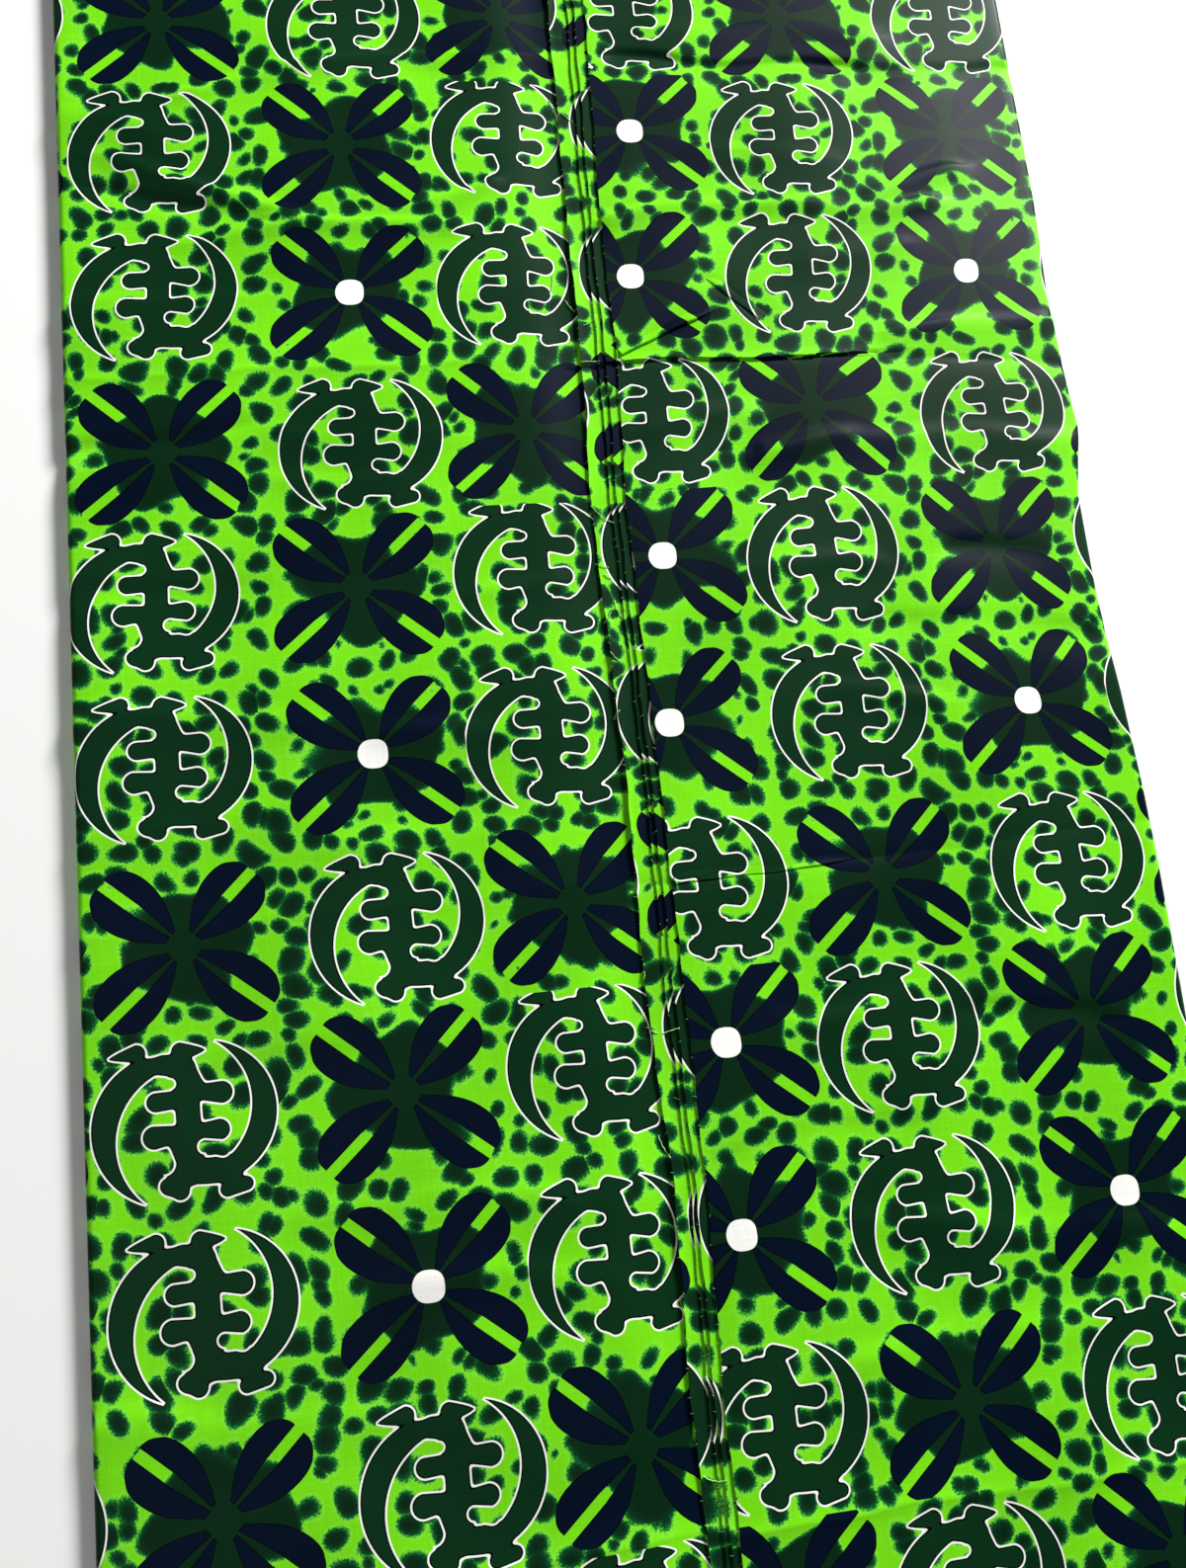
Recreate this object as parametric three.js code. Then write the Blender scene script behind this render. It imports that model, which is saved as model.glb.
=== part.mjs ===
import * as THREE from "three";

// A six-yard length of printed cotton, folded and laid flat. Four lengths lie on each other, and both long
// sides of the stack are folded over, so that the woven edges meet near the middle.
// X runs across the folded cloth, Y along it, and it rests on Z = 0. All sizes are in millimetres.

// Driving dimensions
const CLOTH_LENGTH = 5486; // six yards
const LENGTHS_STACKED = 4;
const FOLDED_LENGTH = CLOTH_LENGTH / LENGTHS_STACKED;
const FOLDED_WIDTH = 585;
const WALL = 1.0; // one layer of cloth with the air that it holds
const GAP = 0.3; // between layers
const PITCH = WALL + GAP;

// Heights of the layers' upper faces
const UNDER_TOP = 2.6; // the stack below, in the valley beside the raw edges
const TUCK_TOP = UNDER_TOP + PITCH; // the left side, where it runs in under the right one
const FOURTH_TOP = TUCK_TOP + PITCH;
const THIRD_TOP = FOURTH_TOP + PITCH;
const SECOND_TOP = THIRD_TOP + PITCH;
const RIGHT_TOP = SECOND_TOP + PITCH;
const LEFT_TOP = 8.2;

// Places across the piece
const LEFT_TUCK_END = 20; // the left side's woven edge, hidden under the right side
const LOWER_LAYERS_END = 45; // from here on the right side's lower layers are part of the hidden ones
const LEFT_FOLD_CENTRE = -FOLDED_WIDTH / 2 + LEFT_TOP / 2;
const RIGHT_FOLD_CENTRE = FOLDED_WIDTH / 2 - RIGHT_TOP / 2;
const FOLD_STEPS = 6; // facets round a fold's half circle

// The left side's upper face, from the valley up to its level part: a row for each bend across the piece.
const LEFT_SLOPE = [
  { x: LEFT_TUCK_END, top: TUCK_TOP },
  { x: -6, top: TUCK_TOP },
  { x: -14, top: 4.5 },
  { x: -24, top: 6.2 },
  { x: -36, top: 7.6 },
  { x: -56, top: LEFT_TOP },
];
const LEFT_LEVEL = [-110, -170, -225, -270];
const RIGHT_LEVEL = [LOWER_LAYERS_END, 95, 150, 205, 250, 275];

// Where the right side's four raw edges lie across the piece: a row for each place along it.
const RAW_EDGES = [
  { y: 690, fourth: -1, third: 11, second: 15, top: 22 },
  { y: 413, fourth: -1.5, third: 9.9, second: 14, top: 20.4 },
  { y: 272, fourth: -3.9, third: 6.1, second: 9.9, top: 15.5 },
  { y: 184, fourth: -4.2, third: 5.5, second: 9.8, top: 16.1 },
  { y: 99, fourth: -7.7, third: 3.6, second: 7.1, top: 11.9 },
  { y: -67, fourth: -4.7, third: 5.5, second: 8.5, top: 13.1 },
  { y: -178, fourth: -6.6, third: 3.9, second: 8, top: 13.4 },
  { y: -274, fourth: -2.8, third: 5.3, second: 8, top: 13.4 },
  { y: -377, fourth: -6.3, third: 2.6, second: 5.5, top: 9.9 },
  { y: -452, fourth: -5, third: 2.8, second: 6, top: 10.1 },
  { y: -690, fourth: -4, third: 3, second: 6.5, top: 11 },
];

// How far the right fold lies inside its furthest place: a row for each place along the piece.
const RIGHT_FOLD_INSET = [
  { y: 690, inset: 3 },
  { y: 427, inset: 2.2 },
  { y: 285, inset: 1.6 },
  { y: 217, inset: 4.3 },
  { y: 152, inset: 1.6 },
  { y: 132, inset: 0 },
  { y: 89, inset: 7.6 },
  { y: 27, inset: 7.6 },
  { y: -33, inset: 3.5 },
  { y: -92, inset: 0.8 },
  { y: -130, inset: 0 },
  { y: -203, inset: 0.3 },
  { y: -420, inset: 2.4 },
  { y: -690, inset: 1 },
];
const INSET_STARTS = 150;
const INSET_FULL = 275;

// Creases across the piece from an earlier, smaller fold, pressed in or standing up.
const CREASES = [
  { y: 494, rise: 1.2 },
  { y: 184, rise: -1.1 },
  { y: -116, rise: -1.0 },
  { y: -437, rise: 1.1 },
];
const CREASE_HALF_WIDTH = 14;

// Soft swells and hollows of the upper layers: centre, height at the centre, and half sizes.
const SWELLS = [
  { x: -180, y: 590, rise: 1.3, across: 110, along: 90 },
  { x: -150, y: 340, rise: 1.5, across: 95, along: 130 },
  { x: -210, y: 40, rise: -0.9, across: 80, along: 120 },
  { x: -130, y: -250, rise: 1.4, across: 75, along: 150 },
  { x: -190, y: -560, rise: -0.9, across: 100, along: 110 },
  { x: 170, y: 580, rise: -0.9, across: 110, along: 100 },
  { x: 190, y: 300, rise: 1.5, across: 100, along: 110 },
  { x: 165, y: 20, rise: 1.3, across: 100, along: 120 },
  { x: 190, y: -300, rise: -0.9, across: 100, along: 130 },
  { x: 160, y: -570, rise: 1.2, across: 110, along: 100 },
];

// The hidden layers as they show at both ends: each lip's share of the height, and how far it stands back.
const END_LIPS = [
  { share: 0.4, back: 6 },
  { share: 0.32, back: 4.5 },
  { share: 0.28, back: 7 },
];
const LIP_GROOVE = 1.4;
const END_BACK = { left: 0, right: 1, second: 3, third: 1.5, fourth: 4 };

const LINES_ALONG = 18;

// A named column of a table, read between its rows.
function along(rows, column, y) {
  const last = rows.length - 1;
  if (y >= rows[0].y) return rows[0][column];
  if (y <= rows[last].y) return rows[last][column];
  const i = rows.findIndex((row) => row.y <= y);
  const share = (rows[i - 1].y - y) / (rows[i - 1].y - rows[i].y);
  return THREE.MathUtils.lerp(rows[i - 1][column], rows[i][column], share);
}

// How much a crease or a swell lifts the upper face of the whole stack.
function relief(x, y) {
  let rise = 0;
  for (const crease of CREASES) {
    rise += crease.rise * Math.max(0, 1 - Math.abs(y - crease.y) / CREASE_HALF_WIDTH);
  }
  for (const swell of SWELLS) {
    const reach = ((x - swell.x) / swell.across) ** 2 + ((y - swell.y) / swell.along) ** 2;
    rise += swell.rise * Math.max(0, 1 - reach) ** 2;
  }
  return rise;
}

// A point of the folded stack where it really lies: the right fold wanders, and the layers swell together.
function settled(x, y, z) {
  const share = THREE.MathUtils.clamp((x - INSET_STARTS) / (INSET_FULL - INSET_STARTS), 0, 1);
  const inset = along(RIGHT_FOLD_INSET, "inset", y) * share;
  return new THREE.Vector3(x - inset, y, z * (1 + relief(x, y) / RIGHT_TOP));
}

// The lines along the piece on which every layer has its sections, from the far end to the near one.
function linesAlong() {
  const lines = [];
  for (let i = 0; i <= LINES_ALONG; i += 1) {
    const y = FOLDED_LENGTH * (0.5 - i / LINES_ALONG);
    const nearCrease = CREASES.some((crease) => Math.abs(crease.y - y) < 1.6 * CREASE_HALF_WIDTH);
    if (!nearCrease) lines.push(y);
  }
  for (const crease of CREASES) {
    lines.push(crease.y + CREASE_HALF_WIDTH, crease.y, crease.y - CREASE_HALF_WIDTH);
  }
  return lines.sort((a, b) => b - a);
}

const LINES = linesAlong();

// The same lines for a layer whose ends stand back.
function linesBack(back) {
  const limit = FOLDED_LENGTH / 2 - back;
  return LINES.map((y) => THREE.MathUtils.clamp(y, -limit, limit));
}

// Two triangles for the four corners of a face, anticlockwise.
const facePair = (a, b, c, d) => [
  [a, b, c],
  [a, c, d],
];

// A closed solid through rings of points, one after another. A ring runs anticlockwise, seen against the way
// in which the rings follow each other, and so do the triangles that close both ends.
function solidThrough(rings, endTriangles) {
  const count = rings[0].length;
  const triangles = [];
  for (let r = 0; r + 1 < rings.length; r += 1) {
    for (let i = 0; i < count; i += 1) {
      const here = r * count + i;
      const after = r * count + ((i + 1) % count);
      triangles.push(...facePair(here, after, after + count, here + count));
    }
  }
  const lastRing = (rings.length - 1) * count;
  for (const [a, b, c] of endTriangles) {
    triangles.push([c, b, a], [a + lastRing, b + lastRing, c + lastRing]);
  }
  const geometry = new THREE.BufferGeometry().setFromPoints(rings.flat());
  geometry.setIndex(triangles.flat());
  geometry.computeVertexNormals();
  return geometry;
}

// The end of a wall whose ring is one face's points and then the other's, turned round.
function wallEnd(count) {
  const triangles = [];
  for (let i = 0; i + 1 < count / 2; i += 1) {
    triangles.push(...facePair(i, i + 1, count - 2 - i, count - 1 - i));
  }
  return triangles;
}

// The half circle of a long fold, from its top round to the floor. side is -1 on the left and 1 on the right.
function foldArc(centre, height, inwards, side) {
  const arc = [];
  const radius = height / 2 - inwards;
  for (let i = 0; i <= FOLD_STEPS; i += 1) {
    const angle = Math.PI / 2 - (Math.PI * i) / FOLD_STEPS;
    arc.push({ x: centre + side * radius * Math.cos(angle), z: height / 2 + radius * Math.sin(angle) });
  }
  return arc;
}

// A layer of cloth: outer gives the points of its upper face across the piece at a place along it, and inner
// those of its lower face, in the same order from left to right.
function layer(back, outer, inner) {
  const rings = linesBack(back).map((y) => {
    const ring = [...inner(y), ...outer(y).reverse()];
    return ring.map((p) => settled(p.x, y, p.z));
  });
  return solidThrough(rings, wallEnd(rings[0].length));
}

function leftPanel() {
  const face = (inwards) => {
    const level = LEFT_LEVEL.map((x) => ({ x, z: LEFT_TOP - inwards }));
    const slope = LEFT_SLOPE.map((row) => ({ x: row.x, z: row.top - inwards }));
    const arc = foldArc(LEFT_FOLD_CENTRE, LEFT_TOP, inwards, -1);
    return [...arc.reverse(), ...level.reverse(), ...slope.reverse()];
  };
  return layer(END_BACK.left, () => face(0), () => face(WALL));
}

function rightPanel() {
  const face = (inwards, y) => {
    const level = [along(RAW_EDGES, "top", y), ...RIGHT_LEVEL].map((x) => ({ x, z: RIGHT_TOP - inwards }));
    return [...level, ...foldArc(RIGHT_FOLD_CENTRE, RIGHT_TOP, inwards, 1)];
  };
  return layer(END_BACK.right, (y) => face(0, y), (y) => face(WALL, y));
}

// One of the right side's lower layers, from its raw edge to where it joins the hidden ones.
function lowerLayer(name, top) {
  const face = (z, y) => [
    { x: along(RAW_EDGES, name, y), z },
    { x: LOWER_LAYERS_END, z },
  ];
  return layer(END_BACK[name], (y) => face(top, y), (y) => face(top - WALL, y));
}

// Sections of the hidden layers across the piece: where each lies, and its lower and upper face.
function hiddenSections() {
  const sections = [];
  const arcAngles = [25, 50, 72, 90].map(THREE.MathUtils.degToRad);
  const arcSections = (centre, height, side) =>
    arcAngles.map((angle) => {
      const radius = height / 2 - PITCH;
      const half = radius * Math.sin(angle);
      return { x: centre + side * radius * Math.cos(angle), low: height / 2 - half, top: height / 2 + half };
    });
  const lip = (centre, top, side) => [
    { x: centre - side * GAP, low: PITCH, top: top - PITCH },
    { x: centre - side * 2 * GAP, low: 0, top: top - PITCH },
  ];
  sections.push(...arcSections(LEFT_FOLD_CENTRE, LEFT_TOP, -1));
  sections.push(...lip(LEFT_FOLD_CENTRE, LEFT_TOP, -1));
  for (const x of [...LEFT_LEVEL].reverse()) sections.push({ x, low: 0, top: LEFT_TOP - PITCH });
  for (const row of [...LEFT_SLOPE].reverse()) sections.push({ x: row.x, low: 0, top: row.top - PITCH });
  sections.push({ x: LEFT_TUCK_END + GAP, low: 0, top: UNDER_TOP });
  sections.push({ x: LEFT_TUCK_END + 2 * GAP, low: 0, top: FOURTH_TOP - PITCH });
  sections.push({ x: LOWER_LAYERS_END + GAP, low: 0, top: FOURTH_TOP - PITCH });
  sections.push({ x: LOWER_LAYERS_END + 2 * GAP, low: 0, top: RIGHT_TOP - PITCH });
  for (const x of RIGHT_LEVEL.slice(1)) sections.push({ x, low: 0, top: RIGHT_TOP - PITCH });
  sections.push(...lip(RIGHT_FOLD_CENTRE, RIGHT_TOP, 1).reverse());
  sections.push(...arcSections(RIGHT_FOLD_CENTRE, RIGHT_TOP, 1).reverse());
  return sections;
}

// The rounded lips of the hidden layers at one end of a section, from the bottom up. end is 1 or -1.
function lips(section, end) {
  const points = [];
  const height = section.top - section.low;
  let low = section.low;
  for (const row of END_LIPS) {
    const top = low + height * row.share;
    const nose = FOLDED_LENGTH / 2 - row.back;
    const rounding = (top - low) * 0.25;
    points.push({ y: end * (nose - LIP_GROOVE), z: low });
    points.push({ y: end * nose, z: low + rounding });
    points.push({ y: end * nose, z: top - rounding });
    low = top;
  }
  points.push({ y: end * (FOLDED_LENGTH / 2 - END_LIPS.at(-1).back - LIP_GROOVE), z: section.top });
  return points;
}

// The end of the hidden layers' ring: a strip between its upper and lower lines, and the lips at both ends.
function hiddenEnd(ring, lipCount, lineCount) {
  const upper = lipCount;
  const farLips = upper + lineCount;
  const lower = farLips + lipCount;
  const last = lineCount - 1;
  const triangles = [];
  for (let i = 0; i < last; i += 1) {
    triangles.push(...facePair(upper + i, upper + i + 1, lower + last - i - 1, lower + last - i));
  }
  const lipNumbers = (first) => Array.from({ length: lipCount }, (_, i) => first + i);
  const ends = [
    [lower + last, ...lipNumbers(0), upper],
    [upper + last, ...lipNumbers(farLips), lower],
  ];
  for (const corners of ends) {
    const outline = corners.map((n) => new THREE.Vector2(ring[n].y, ring[n].z));
    for (const triangle of THREE.ShapeUtils.triangulateShape(outline, [])) {
      triangles.push(triangle.map((n) => corners[n]));
    }
  }
  return triangles;
}

function underLayers() {
  const deepest = Math.max(...END_LIPS.map((row) => row.back)) + LIP_GROOVE;
  const inside = LINES.filter((y) => Math.abs(y) < FOLDED_LENGTH / 2 - deepest - 1);
  const rings = hiddenSections().map((section) => {
    const upper = inside.map((y) => ({ y, z: section.top }));
    const lower = inside.map((y) => ({ y, z: section.low })).reverse();
    const ring = [...lips(section, 1), ...upper, ...lips(section, -1).reverse(), ...lower];
    return ring.map((p) => settled(section.x, p.y, p.z));
  });
  const lipCount = 3 * END_LIPS.length + 1;
  return solidThrough(rings, hiddenEnd(rings[0], lipCount, inside.length));
}

const PRINT_GREEN = 0x5aa62c; // lime ground and dark green motifs, as one tone
const HIDDEN_GREEN = 0x2f5a26;

function cloth(name, geometry, color) {
  const material = new THREE.MeshStandardMaterial({ color, roughness: 0.6, metalness: 0 });
  const mesh = new THREE.Mesh(geometry, material);
  mesh.name = name;
  return mesh;
}

const foldedCloth = new THREE.Group();
foldedCloth.add(cloth("under_layers", underLayers(), HIDDEN_GREEN));
foldedCloth.add(cloth("left_panel", leftPanel(), PRINT_GREEN));
foldedCloth.add(cloth("fourth_layer", lowerLayer("fourth", FOURTH_TOP), PRINT_GREEN));
foldedCloth.add(cloth("third_layer", lowerLayer("third", THIRD_TOP), PRINT_GREEN));
foldedCloth.add(cloth("second_layer", lowerLayer("second", SECOND_TOP), PRINT_GREEN));
foldedCloth.add(cloth("right_panel", rightPanel(), PRINT_GREEN));

export default foldedCloth;
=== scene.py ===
import math

import bpy
import numpy as np
from mathutils import Matrix, Vector


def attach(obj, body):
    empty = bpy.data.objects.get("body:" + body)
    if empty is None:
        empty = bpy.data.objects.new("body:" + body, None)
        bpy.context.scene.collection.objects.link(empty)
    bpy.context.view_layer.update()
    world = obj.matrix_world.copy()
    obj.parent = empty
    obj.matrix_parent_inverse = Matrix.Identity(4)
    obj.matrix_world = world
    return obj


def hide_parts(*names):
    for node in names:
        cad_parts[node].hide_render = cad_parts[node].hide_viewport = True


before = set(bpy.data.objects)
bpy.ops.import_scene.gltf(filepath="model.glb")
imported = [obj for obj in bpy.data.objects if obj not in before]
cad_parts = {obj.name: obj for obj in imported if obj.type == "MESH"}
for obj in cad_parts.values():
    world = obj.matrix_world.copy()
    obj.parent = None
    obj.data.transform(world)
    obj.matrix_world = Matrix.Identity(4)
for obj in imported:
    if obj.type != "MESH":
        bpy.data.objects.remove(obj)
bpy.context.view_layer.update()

# A six-yard length of wax print cotton, folded as it is sold and laid flat. Four lengths lie on each other,
# and both long sides of the stack are folded over, so that the woven edges meet near the middle.
# X runs across the folded cloth, Y along it and Z up. Sizes are in millimetres until a mesh is made.

MM = 0.001
BODY = "root"

# ---------------------------------------------------------------------------------------------------------
# Sizes of the folded stack, as in the CAD source
# ---------------------------------------------------------------------------------------------------------
FOLDED_LENGTH = 1371.5
FOLDED_WIDTH = 585.0
PITCH = 1.3  # from one layer to the next, with the air between them
CLOTH = 0.55  # the cloth itself, drawn a little thicker than its real 0.3 mm
# Upper faces of the lengths beside the raw edges, from the lowest one up, and of the left side
UNDER_TOP = 2.6
TUCK_TOP = UNDER_TOP + PITCH
FOURTH_TOP = TUCK_TOP + PITCH
THIRD_TOP = FOURTH_TOP + PITCH
SECOND_TOP = THIRD_TOP + PITCH
RIGHT_TOP = SECOND_TOP + PITCH
LEFT_TOP = 8.2
LEFT_TUCK_END = 20.0
LOWER_LAYERS_END = 45.0
LEFT_FOLD_CENTRE = -FOLDED_WIDTH / 2 + LEFT_TOP / 2
RIGHT_FOLD_CENTRE = FOLDED_WIDTH / 2 - RIGHT_TOP / 2
# How far each length's ends lie back from the ends of the whole
END_BACK = {"left": 0.0, "right": 1.0, "second": 3.0, "third": 1.5, "fourth": 4.0}

# The left side's upper face, from the valley beside the raw edges up to its level part.
LEFT_SLOPE = [(-110, 8.2), (-56, 8.2), (-36, 7.6), (-24, 6.2), (-14, 4.5), (-6, 3.9), (20, 3.9)]
SLOPE_SOFTNESS = 3.0
LEVEL_ENDS = -62.0  # the level part's last points lie here, just before the slope

# Where the four raw edges lie across the piece, from the near end to the far one.
RAW_Y = [-690, -452, -377, -274, -178, -67, 99, 184, 272, 413, 690]
RAW_EDGES = {
    "fourth": [-4.0, -5.0, -6.3, -2.8, -6.6, -4.7, -7.7, -4.2, -3.9, -1.5, -1.0],
    "third": [3.0, 2.8, 2.6, 5.3, 3.9, 5.5, 3.6, 5.5, 6.1, 9.9, 11.0],
    "second": [6.5, 6.0, 5.5, 8.0, 8.0, 8.5, 7.1, 9.8, 9.9, 14.0, 15.0],
    "top": [11.0, 10.1, 9.9, 13.4, 13.4, 13.1, 11.9, 16.1, 15.5, 20.4, 22.0],
}

# How far the right fold lies inside its furthest place.
INSET_Y = [-690, -420, -203, -130, -92, -33, 27, 89, 132, 152, 217, 285, 427, 690]
INSET = [1.0, 2.4, 0.3, 0.0, 0.8, 3.5, 7.6, 7.6, 0.0, 1.6, 4.3, 1.6, 2.2, 3.0]
INSET_SPAN = (150.0, 275.0)  # across the piece, it starts and is full there

# Soft swells and hollows of the upper layers: centre, height, and half sizes across and along.
SWELLS = [
    (-180, 590, 1.3, 110, 90),
    (-150, 340, 1.5, 95, 130),
    (-210, 40, -0.9, 80, 120),
    (-130, -250, 1.4, 75, 150),
    (-190, -560, -0.9, 100, 110),
    (170, 580, -0.9, 110, 100),
    (190, 300, 1.5, 100, 110),
    (165, 20, 1.3, 100, 120),
    (190, -300, -0.9, 100, 130),
    (160, -570, 1.2, 110, 100),
]

# Sharp creases left by an earlier, smaller fold: both ends of each, its depth or height, and its half width.
CREASES = [
    ((-292, 496), (292, 492), 1.1, 5.0),
    ((186, 182), (292, 172), -0.7, 5.0),
    ((4, 181), (84, 219), -1.0, 3.0),
    ((72, 238), (104, 208), -0.7, 3.0),
    ((-292, 187), (-58, 189), 0.8, 3.0),
    ((-8, -118), (131, -115), -0.8, 2.5),
    ((131, -115), (292, -108), -0.6, 5.0),
    ((-292, -120), (-40, -116), 0.5, 6.0),
    ((-292, -436), (292, -440), 1.1, 5.0),
]

# The pleat across the right side, where the cloth above laps over the cloth below.
PLEAT_Y = 184.0
PLEAT_SPAN = (-12.0, 150.0, 205.0)  # starts, is full until, ends
PLEAT_LIP = (1.1, 5.0)  # height and reach of the upper cloth's rounded edge
PLEAT_FOOT = (0.7, 2.0)  # depth and reach of the dip at its foot
PLEAT_TAKES = (4.0, 9.0)  # how much of the print it hides across and along, most of it near one place
PLEAT_MIDDLE = (135.0, 55.0)  # that place, and how far to either side it fades
PLEAT_EASES = 160.0  # the cloth below it eases back to its own place over this much

# Soft wrinkles: both ends, height and half width.
SHARP = 3.5  # those narrower than this get closer rows of points
CLOSE_BY = 8.0  # and so does the cloth within this far of them and of the creases
WIDER_BELOW = 2.6  # a wrinkle falls off more slowly towards the near end, by this factor
WRINKLES = [
    ((-219, 365), (-166, 380), 1.0, 2.6),
    ((-166, 380), (-72, 389), 0.9, 2.8),
    ((-72, 389), (-2, 387), 0.7, 3.0),
    ((-264, 321), (-190, 296), 1.3, 3.0),
    ((-190, 296), (-150, 284), 1.0, 2.8),
    ((-268, 306), (-196, 284), -0.9, 3.0),
    ((-223, 272), (-172, 279), 1.0, 2.6),
    ((-172, 281), (-69, 279), 1.0, 2.6),
    ((-85, 293), (-48, 307), 1.0, 2.6),
    ((-288, 352), (-240, 340), 0.6, 5.0),
    ((-150, 338), (-60, 346), 0.5, 5.0),
    ((-290, 228), (-200, 236), 0.5, 5.0),
    ((36, 388), (187, 378), -1.0, 3.2),
    ((187, 378), (286, 376), -0.8, 4.5),
    ((60, 408), (200, 402), 0.7, 5.0),
    ((20, 279), (121, 285), 1.0, 3.0),
    ((121, 285), (222, 283), 0.9, 3.0),
    ((183, 289), (240, 309), 0.9, 3.5),
    ((40, 322), (160, 316), 0.5, 5.0),
    ((140, 249), (195, 254), 0.6, 5.0),
    ((186, 203), (284, 200), 0.8, 4.0),
    ((-292, 148), (-250, 149), -1.0, 4.0),
    ((-250, 149), (-196, 154), -1.2, 4.0),
    ((-196, 150), (-80, 146), 0.5, 5.0),
    ((-223, 126), (-116, 122), 0.5, 3.5),
    ((96, 126), (150, 130), 0.9, 4.0),
    ((150, 130), (291, 126), 0.5, 5.0),
    ((30, 146), (90, 150), 0.6, 4.0),
    ((95, 57), (150, 53), 0.5, 4.0),
    ((204, 63), (256, 60), -0.6, 4.0),
    ((-292, 66), (-200, 63), -0.5, 4.0),
    ((-70, 52), (-32, 58), 0.6, 3.5),
    ((-292, -6), (-180, -13), 0.8, 4.5),
    ((-130, -20), (-60, -27), 0.8, 4.0),
    ((118, -16), (175, -25), 0.6, 4.0),
    ((150, 22), (290, 2), -0.6, 6.0),
    ((-280, -66), (-180, -60), 0.5, 6.0),
    ((-160, -84), (-70, -78), 0.5, 5.0),
    ((176, -201), (240, -208), -1.0, 4.0),
    ((60, -196), (150, -190), 0.5, 5.0),
    ((-240, -196), (-120, -190), -0.5, 6.0),
    ((-190, -262), (-60, -270), 0.5, 5.0),
    ((-150, -300), (-40, -312), 0.7, 5.0),
    ((70, -300), (250, -322), 0.7, 5.0),
    ((20, -262), (120, -256), -0.5, 5.0),
    ((-280, -350), (-150, -362), 0.6, 6.0),
    ((60, -370), (220, -362), 0.6, 6.0),
    ((-250, 610), (-90, 600), 0.8, 5.0),
    ((50, 560), (230, 572), 0.8, 5.0),
    ((-270, 540), (-150, 552), 0.6, 5.0),
    ((-230, -520), (-60, -512), 0.8, 5.0),
    ((70, -540), (260, -552), 0.8, 6.0),
    ((-200, -620), (-100, -628), -0.6, 6.0),
    ((90, 640), (220, 634), -0.6, 6.0),
]


# ---------------------------------------------------------------------------------------------------------
# How the cloth lies
# ---------------------------------------------------------------------------------------------------------
def from_line(x, y, start, end):
    """How far points lie from a straight line with two ends."""
    run = np.subtract(end, start)
    share = ((x - start[0]) * run[0] + (y - start[1]) * run[1]) / run.dot(run)
    share = np.clip(share, 0, 1)
    return np.hypot(x - start[0] - share * run[0], y - start[1] - share * run[1])


def waves(along, *rows):
    """Small waves along the cloth: the height of each, its length for a radian, and its phase if any."""
    return sum(height * np.sin(along / length + sum(phase)) for height, length, *phase in rows)


def relief(x, y):
    """How much swells, creases and wrinkles lift the upper face of the whole stack."""
    rise = np.zeros(np.shape(x))
    for middle_x, middle_y, height, across, along in SWELLS:
        reach = ((x - middle_x) / across) ** 2 + ((y - middle_y) / along) ** 2
        rise += height * np.clip(1 - reach, 0, None) ** 2
    for start, end, height, half_width in CREASES:
        away = from_line(x, y + waves(x, (1.2, 23), (0.7, 9)), start, end)
        rise += height * np.exp(-away / half_width)
    ridge = dip = np.zeros(np.shape(x))
    for start, end, height, half_width in WRINKLES:
        wander = waves(x, (3.0, 31, start[1]), (1.5, 13))
        away = from_line(x, y + wander, start, end)
        run = np.subtract(end, start)
        is_below = (x - start[0]) * run[1] > (y + wander - start[1]) * run[0]
        width = half_width * np.where(is_below, WIDER_BELOW, 1.0)
        uneven = 1.8 + waves(x, (0.6, 19, start[0]))
        wrinkle = height * uneven * np.exp(-((away / width) ** 2))
        ridge, dip = np.maximum(ridge, wrinkle), np.minimum(dip, wrinkle)
    rise += ridge + dip
    ahead, share = pleat(x, y)
    lip = PLEAT_LIP[0] * np.exp(-np.abs(ahead) / PLEAT_LIP[1])
    foot = -PLEAT_FOOT[0] * np.exp(-np.abs(ahead) / PLEAT_FOOT[1])
    return rise + share * np.where(ahead > 0, lip, foot)


def pleat(x, y):
    """How far a place lies beyond the pleat's edge, and how full the pleat is there."""
    ahead = y - PLEAT_Y - waves(x, (0.8, 23))
    return ahead, np.interp(x, PLEAT_SPAN, [1, 1, 0]) * (x > PLEAT_SPAN[0])


def settled(x, y, z):
    """Where points of the stack really lie: the right fold wanders, and all layers swell together."""
    starts, full = INSET_SPAN
    share = np.clip((x - starts) / (full - starts), 0, 1)
    inset = np.interp(y, INSET_Y, INSET)
    return np.stack([x - inset * share, y, z * (1 + relief(x, y) / RIGHT_TOP)], axis=-1)


def raw_edge(name, y):
    """A raw edge's place across the piece, with the small waves of a woven edge."""
    phase = 7 * sorted(RAW_EDGES).index(name)
    return np.interp(y, RAW_Y, RAW_EDGES[name]) + waves(y, (0.35, 11, phase), (0.2, 3.7, 2 * phase))


def lines_along(back, wide=3.0, close=1.2):
    """Places along the piece for a layer's rows of points, closer together at creases and sharp wrinkles."""
    spans = []
    for (_, start_y), (_, end_y), _, _ in CREASES + [row for row in WRINKLES if row[-1] < SHARP]:
        spans.append((min(start_y, end_y) - CLOSE_BY, max(start_y, end_y) + CLOSE_BY))
    limit = FOLDED_LENGTH / 2 - back
    rows = [-limit]
    while rows[-1] < limit:
        at_crease = any(low < rows[-1] < high for low, high in spans)
        rows.append(rows[-1] + (close if at_crease else wide))
    rows[-1] = limit
    return np.array(rows)


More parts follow.
